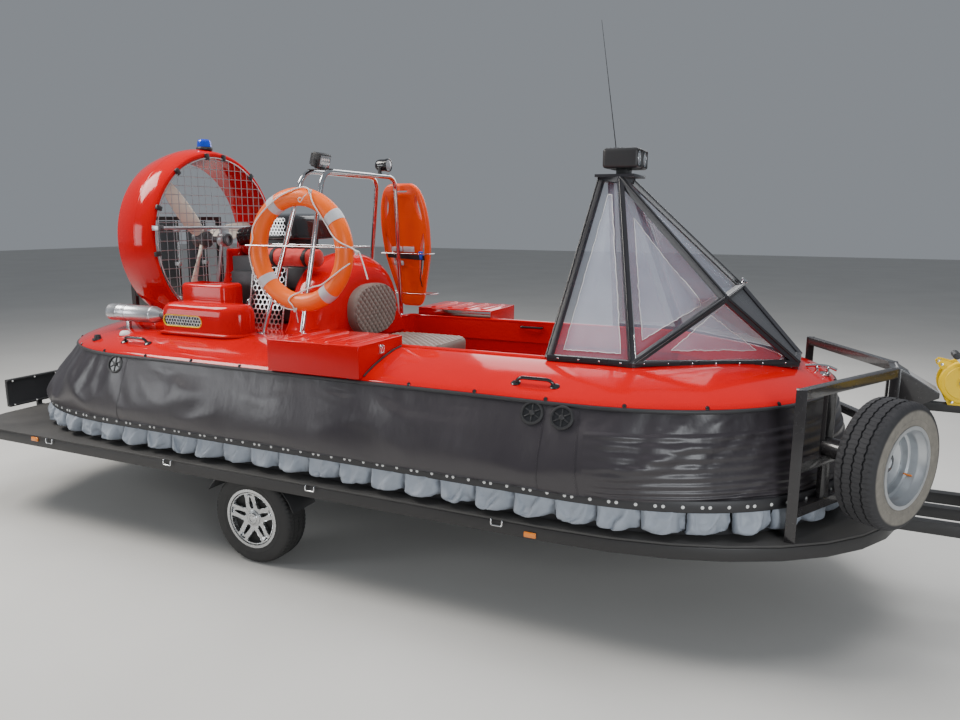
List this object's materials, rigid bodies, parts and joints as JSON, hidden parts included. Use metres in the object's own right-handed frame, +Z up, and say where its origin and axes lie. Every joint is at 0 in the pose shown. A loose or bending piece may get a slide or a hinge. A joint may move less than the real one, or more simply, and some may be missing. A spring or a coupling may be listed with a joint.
{
  "type": "light rescue hovercraft on its single-axle bed trailer",
  "caption": "Red rescue hovercraft with a black skirt bag, ducted propeller, rudders and tent windscreen, standing on its low bed trailer with a bow guard and jockey wheel.",
  "frame": {"origin": "on the ground, under the middle of the bounding box", "axes": "+X towards the bow and the coupling, +Y to port, +Z up"},
  "size_m": [7.5973, 2.451, 3.2703],
  "materials": {
    "black_steel": "satin black paint",
    "bed_panel": "black film-faced plywood",
    "galvanised": "galvanised",
    "coupling_grey": "dark grey casting",
    "tyre": "road tyre rubber",
    "alloy": "polished alloy",
    "guard_plastic": "black moulded",
    "jockey_rubber": "solid rubber",
    "winch_yellow": "yellow paint",
    "lamp_board_black": "black moulded board",
    "red_gelcoat": "glossy red gelcoat",
    "cockpit_red": "red gelcoat, semi-gloss",
    "bag_fabric": "black coated fabric",
    "finger_fabric": "pale grey coated fabric",
    "seat_vinyl": "quilted brown vinyl",
    "engine_metal": "cast metal",
    "hood_black": "glossy black cover",
    "screen_metal": "silver perforated sheet",
    "exhaust": "polished stainless",
    "wire": "bright wire",
    "propeller": "cream composite",
    "rudder_black": "black composite",
    "stainless": "polished stainless tube",
    "ring_orange": "orange moulded foam ring",
    "board_orange": "orange moulded board",
    "roll_fabric": "red nylon",
    "beacon_blue": "blue lens",
    "lamp_black": "black lamp housing",
    "screen_frame": "black frame",
    "clear_pane": "clear plastic sheet",
    "grip_black": "rubber grips"
  },
  "bodies": {
    "root": {"bed_frame": "black_steel", "bed_floor": "bed_panel", "drawbar": "black_steel", "coupling_head": "coupling_grey", "axle": "galvanised", "mudguard_right": "guard_plastic", "mudguard_left": "guard_plastic", "jockey_sleeve": "galvanised", "winch_post": "black_steel", "winch_housing": "winch_yellow", "bow_guard": "black_steel", "spare_tyre": "tyre", "spare_rim": "galvanised", "lamp_board": "lamp_board_black", "skirt_bag": "bag_fabric", "skirt_fingers": "finger_fabric", "deck": "red_gelcoat", "step_box_starboard": "red_gelcoat", "step_box_port": "red_gelcoat", "seat_cushion": "seat_vinyl", "seat_fairing": "red_gelcoat", "backrest_pad": "seat_vinyl", "hull": "cockpit_red", "engine_block": "engine_metal", "engine_hood": "hood_black", "engine_screen_starboard": "screen_metal", "engine_screen_port": "screen_metal", "engine_pylon": "red_gelcoat", "intake_box_starboard": "red_gelcoat", "intake_box_port": "red_gelcoat", "exhaust_silencer": "exhaust", "duct": "red_gelcoat", "duct_guard": "wire", "shaft_mount": "stainless", "rudder_frame": "black_steel", "equipment_arch": "stainless", "life_ring": "ring_orange", "rescue_board": "board_orange", "rolled_bag": "roll_fabric", "beacon": "beacon_blue", "windscreen_frame": "screen_frame", "spotlights": "lamp_black", "glazing_starboard": "clear_pane", "glazing_port": "clear_pane", "glazing_front": "clear_pane"},
    "wheel_right": {"tyre_right": "tyre", "rim_right": "alloy"},
    "wheel_left": {"tyre_left": "tyre", "rim_left": "alloy"},
    "jockey_leg": {"jockey_tube": "galvanised"},
    "jockey_caster": {"jockey_fork": "galvanised"},
    "jockey_roller": {"jockey_wheel": "jockey_rubber"},
    "winch_handle": {"winch_crank": "galvanised"},
    "steering": {"handlebar": "grip_black"},
    "propeller_rotor": {"propeller": "propeller"},
    "rudder_blade_starboard": {"rudder_starboard": "rudder_black"},
    "rudder_blade_centre": {"rudder_centre": "rudder_black"},
    "rudder_blade_port": {"rudder_port": "rudder_black"}
  },
  "joints": [
    {"name": "wheel_right_spin", "type": "hinge", "parent": "root", "child": "wheel_right", "pos_m": [-1.071, -0.983, 0.295], "axis": [0, 1, 0], "continuous": true},
    {"name": "wheel_left_spin", "type": "hinge", "parent": "root", "child": "wheel_left", "pos_m": [-1.071, 0.983, 0.295], "axis": [0, 1, 0], "continuous": true},
    {"name": "jockey_lift", "type": "slide", "parent": "root", "child": "jockey_leg", "axis": [0, 0, 1], "range_m": [0, 0.2]},
    {"name": "jockey_swivel", "type": "hinge", "parent": "jockey_leg", "child": "jockey_caster", "pos_m": [3.259, -0.165, 0.2], "axis": [0, 0, 1], "continuous": true},
    {"name": "jockey_roll", "type": "hinge", "parent": "jockey_caster", "child": "jockey_roller", "pos_m": [3.214, -0.165, 0.11], "axis": [0, 1, 0], "continuous": true},
    {"name": "winch_turn", "type": "hinge", "parent": "root", "child": "winch_handle", "pos_m": [2.799, -0.11, 1.35], "axis": [0, -1, 0], "continuous": true},
    {"name": "steer", "type": "hinge", "parent": "root", "child": "steering", "pos_m": [0.219, 0, 1.15], "axis": [0, 0, 1], "range_deg": [-35, 35]},
    {"name": "propeller_spin", "type": "hinge", "parent": "root", "child": "propeller_rotor", "pos_m": [-2.371, 0, 1.968], "axis": [1, 0, 0], "continuous": true},
    {"name": "rudder_starboard_turn", "type": "hinge", "parent": "root", "child": "rudder_blade_starboard", "pos_m": [-2.631, -0.29, 1.77], "axis": [0, 0, 1], "range_deg": [-30, 30]},
    {"name": "rudder_centre_turn", "type": "hinge", "parent": "root", "child": "rudder_blade_centre", "pos_m": [-2.631, 0, 1.77], "axis": [0, 0, 1], "range_deg": [-30, 30]},
    {"name": "rudder_port_turn", "type": "hinge", "parent": "root", "child": "rudder_blade_port", "pos_m": [-2.631, 0.29, 1.77], "axis": [0, 0, 1], "range_deg": [-30, 30]}
  ],
  "couplings": [
    {"joint": "rudder_starboard_turn", "follows": "steer", "ratio": -0.857},
    {"joint": "rudder_centre_turn", "follows": "steer", "ratio": -0.857},
    {"joint": "rudder_port_turn", "follows": "steer", "ratio": -0.857}
  ]
}
